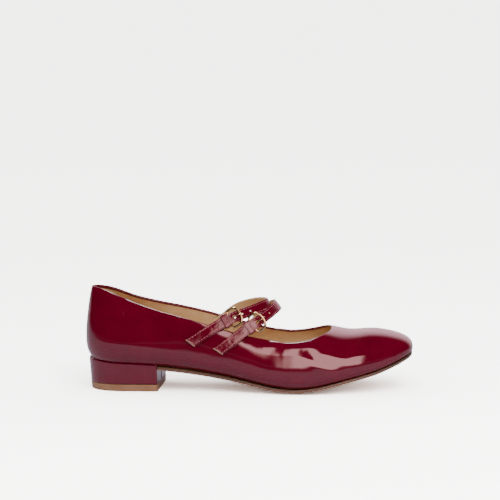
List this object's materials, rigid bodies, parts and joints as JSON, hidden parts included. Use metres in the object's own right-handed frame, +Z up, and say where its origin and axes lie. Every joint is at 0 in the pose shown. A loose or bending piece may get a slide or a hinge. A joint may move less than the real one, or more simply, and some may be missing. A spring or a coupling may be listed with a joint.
{
  "type": "mary jane shoe",
  "caption": "Right mary jane shoe in glossy patent leather, with a low block heel, a soft square toe and narrow straps with round wire buckles across the instep.",
  "frame": {"origin": "on the floor, under the centre of the shoe's box", "axes": "+X from heel to toe, +Y to the wearer's left, which is the inner side of this right shoe, +Z up"},
  "size_m": [0.251, 0.0788, 0.0788],
  "materials": {
    "patent": "mirror gloss patent",
    "lining": "smooth matte lining",
    "sole": "satin",
    "metal": "polished pale gold"
  },
  "bodies": {
    "root": {"upper": "patent", "insole": "lining", "outsole": "sole", "heel": "patent", "heel_top_piece": "sole", "strap_rear": "patent", "strap_front": "patent", "tab_rear": "patent", "tab_front": "patent", "keeper_rear": "patent", "keeper_front": "patent", "buckle_rear": "metal", "buckle_front": "metal", "prong_rear": "metal", "prong_front": "metal"}
  },
  "joints": []
}
